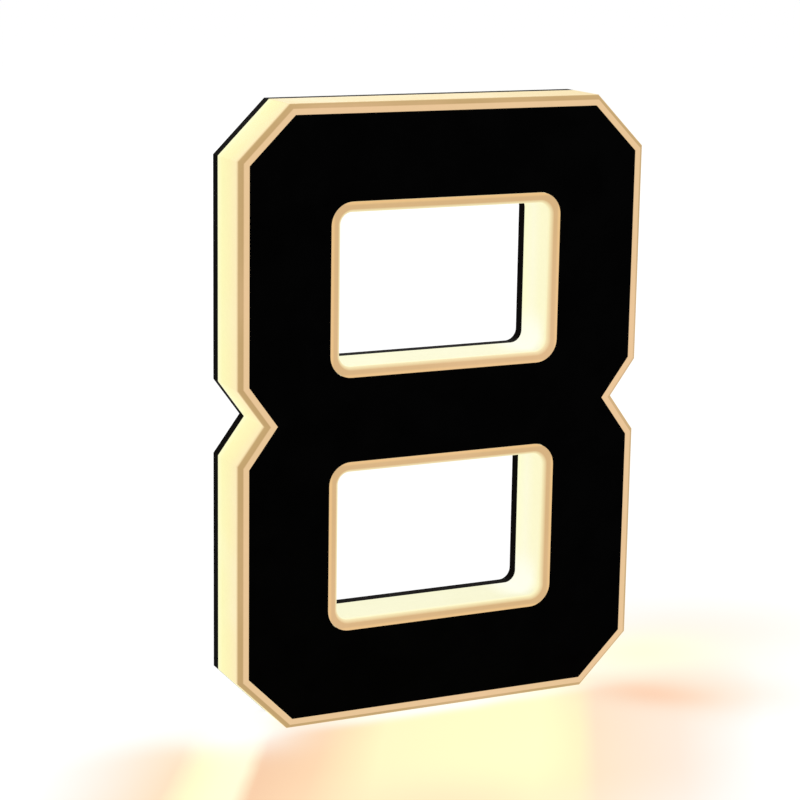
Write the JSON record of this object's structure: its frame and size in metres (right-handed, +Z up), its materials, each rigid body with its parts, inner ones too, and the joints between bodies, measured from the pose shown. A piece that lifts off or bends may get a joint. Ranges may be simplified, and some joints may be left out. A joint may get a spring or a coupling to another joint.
{
  "type": "illuminated house number sign",
  "caption": "Figure eight with a black face let into a glowing translucent body, on a black back plate with threaded wall studs and standoff sleeves.",
  "frame": {"origin": "centre of the wall stud pattern, on the plane of the wall", "axes": "+Z up, +Y into the wall, -Y out of the figure's face, +X to the right as the figure is read"},
  "size_m": [0.142, 0.042, 0.2],
  "materials": {
    "opal_acrylic": "satin, glowing warm white from inside",
    "black_gloss": "smooth, low sheen",
    "white_film": "matt",
    "black_rubber": "matt",
    "black_matt": "fine satin",
    "stainless": "bright",
    "brass": "turned",
    "black_aluminium": "black anodised",
    "foam_tape": "foam",
    "module_white": "moulded satin",
    "board_white": "solder mask",
    "phosphor": "resin",
    "lens_clear": "clear frosted",
    "terminal_grey": "moulded",
    "lead_jacket": "silicone jacket"
  },
  "bodies": {
    "root": {"diffuser_body": "opal_acrylic", "face_plate": "black_gloss", "reflector_film": "white_film", "outer_gasket": "black_rubber", "counter_gaskets": "black_rubber", "back_plate": "black_matt", "plate_screws": "stainless", "threaded_inserts": "brass", "wall_studs": "stainless", "standoff_sleeves": "black_aluminium", "seal_washers": "black_rubber", "stud_washers": "stainless", "stud_nuts": "stainless", "cable_grommet": "black_rubber", "terminal_block": "terminal_grey", "terminal_clamps": "brass", "terminal_screws": "stainless", "lead_upper_right_to_top": "lead_jacket", "lead_top_to_upper_left": "lead_jacket", "lead_upper_left_to_lower_left": "lead_jacket", "lead_lower_left_to_bottom": "lead_jacket", "lead_bottom_to_lower_right": "lead_jacket", "lead_terminal_to_middle": "lead_jacket", "lead_terminal_to_upper_right": "lead_jacket", "top_module_tape": "foam_tape", "top_module_housing": "module_white", "top_module_board": "board_white", "top_module_chips": "phosphor", "top_module_lenses": "lens_clear", "upper_right_module_tape": "foam_tape", "upper_right_module_housing": "module_white", "upper_right_module_board": "board_white", "upper_right_module_chips": "phosphor", "upper_right_module_lenses": "lens_clear", "lower_right_module_tape": "foam_tape", "lower_right_module_housing": "module_white", "lower_right_module_board": "board_white", "lower_right_module_chips": "phosphor", "lower_right_module_lenses": "lens_clear", "bottom_module_tape": "foam_tape", "bottom_module_housing": "module_white", "bottom_module_board": "board_white", "bottom_module_chips": "phosphor", "bottom_module_lenses": "lens_clear", "lower_left_module_tape": "foam_tape", "lower_left_module_housing": "module_white", "lower_left_module_board": "board_white", "lower_left_module_chips": "phosphor", "lower_left_module_lenses": "lens_clear", "upper_left_module_tape": "foam_tape", "upper_left_module_housing": "module_white", "upper_left_module_board": "board_white", "upper_left_module_chips": "phosphor", "upper_left_module_lenses": "lens_clear", "middle_module_tape": "foam_tape", "middle_module_housing": "module_white", "middle_module_board": "board_white", "middle_module_chips": "phosphor", "middle_module_lenses": "lens_clear"}
  },
  "joints": []
}
